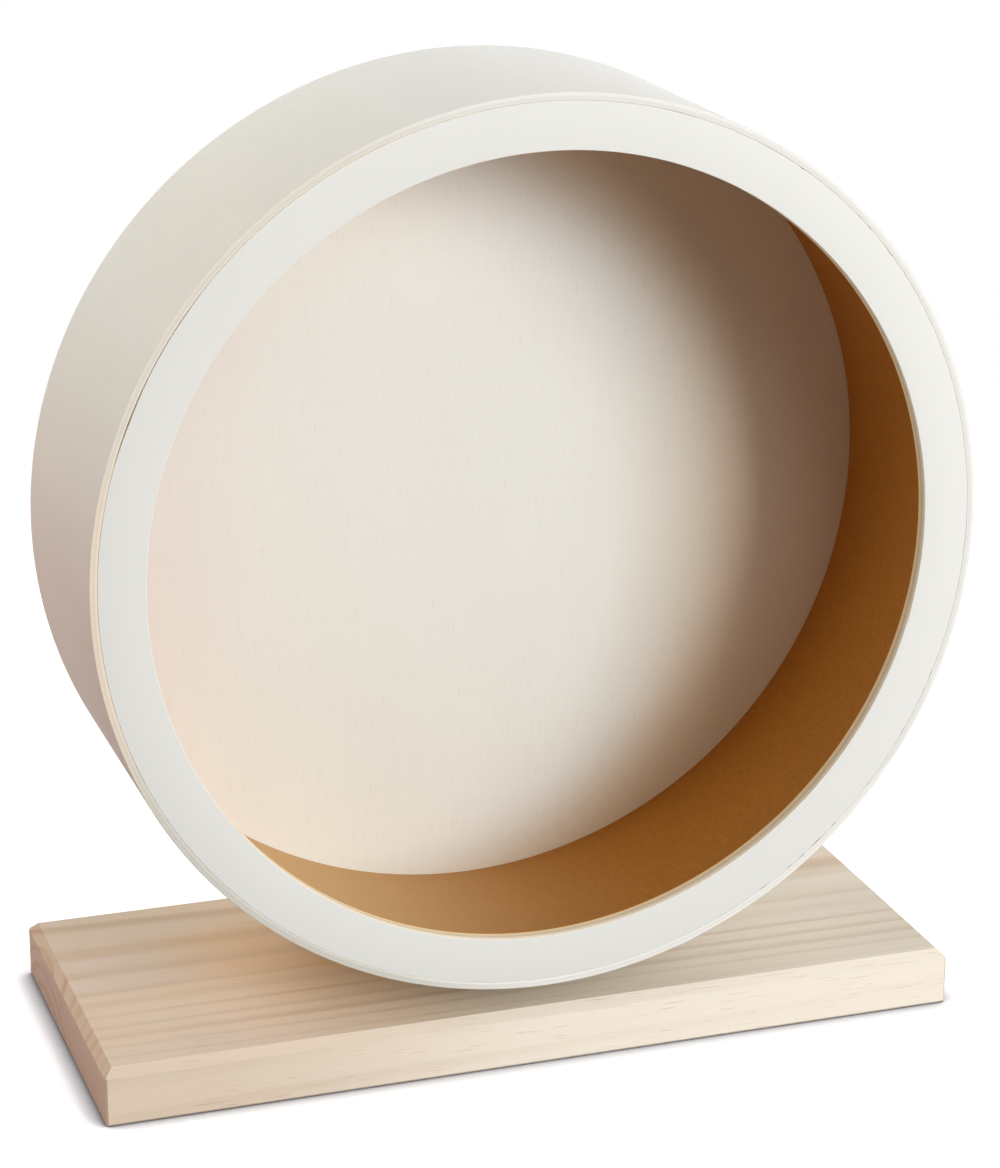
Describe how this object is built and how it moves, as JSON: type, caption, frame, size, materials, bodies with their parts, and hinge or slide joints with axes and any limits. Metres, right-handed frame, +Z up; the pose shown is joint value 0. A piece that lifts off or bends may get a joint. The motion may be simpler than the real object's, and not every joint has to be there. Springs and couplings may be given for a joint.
{
  "type": "rodent exercise wheel",
  "caption": "Free-standing wooden rodent exercise wheel: an open plywood drum with a cork track, turning on a ball-raced axle in a rear post on a bevelled pine board.",
  "frame": {"origin": "on the surface that the board rests on, under the middle of the whole object's box", "axes": "+X along the board, +Y from the drum's open front to the post behind it, +Z up"},
  "size_m": [0.3, 0.128, 0.33],
  "materials": {
    "panel_plywood": "sanded pale poplar plywood, unvarnished",
    "rim_plywood": "bent pale poplar plywood, unvarnished",
    "cork": "fine-grained cork sheet, matt",
    "pine": "planed pine, unvarnished",
    "beech": "fluted beech dowel",
    "zinc_steel": "bright zinc plate",
    "bearing_steel": "ground and polished",
    "shield_steel": "pressed sheet steel",
    "nylon": "natural nylon"
  },
  "bodies": {
    "stand": {"base_board": "pine", "upright_post": "pine", "post_dowels": "beech", "post_screws": "zinc_steel", "front_outer_race": "bearing_steel", "front_shields": "shield_steel", "rear_outer_race": "bearing_steel", "rear_shields": "shield_steel"},
    "wheel": {"drum_rim": "rim_plywood", "front_ring": "panel_plywood", "track_liner": "cork", "back_disc": "panel_plywood", "hub_block": "panel_plywood", "axle_bolt": "zinc_steel", "hub_washer": "zinc_steel", "front_shim": "zinc_steel", "front_inner_race": "bearing_steel", "race_spacer": "zinc_steel", "rear_inner_race": "bearing_steel", "rear_shim": "zinc_steel", "lock_nut": "zinc_steel", "nut_insert": "nylon"},
    "front_ball_set": {"front_balls": "bearing_steel", "front_cage": "nylon"},
    "rear_ball_set": {"rear_balls": "bearing_steel", "rear_cage": "nylon"}
  },
  "joints": [
    {"name": "wheel_spin", "type": "hinge", "parent": "stand", "child": "wheel", "pos_m": [0, 0.0461, 0.18], "axis": [0, 1, 0], "continuous": true},
    {"name": "front_balls_roll", "type": "hinge", "parent": "stand", "child": "front_ball_set", "pos_m": [0, 0.0461, 0.18], "axis": [0, 1, 0], "continuous": true},
    {"name": "rear_balls_roll", "type": "hinge", "parent": "stand", "child": "rear_ball_set", "pos_m": [0, 0.0461, 0.18], "axis": [0, 1, 0], "continuous": true}
  ],
  "couplings": [
    {"joint": "front_balls_roll", "follows": "wheel_spin", "ratio": 0.36},
    {"joint": "rear_balls_roll", "follows": "wheel_spin", "ratio": 0.36}
  ]
}
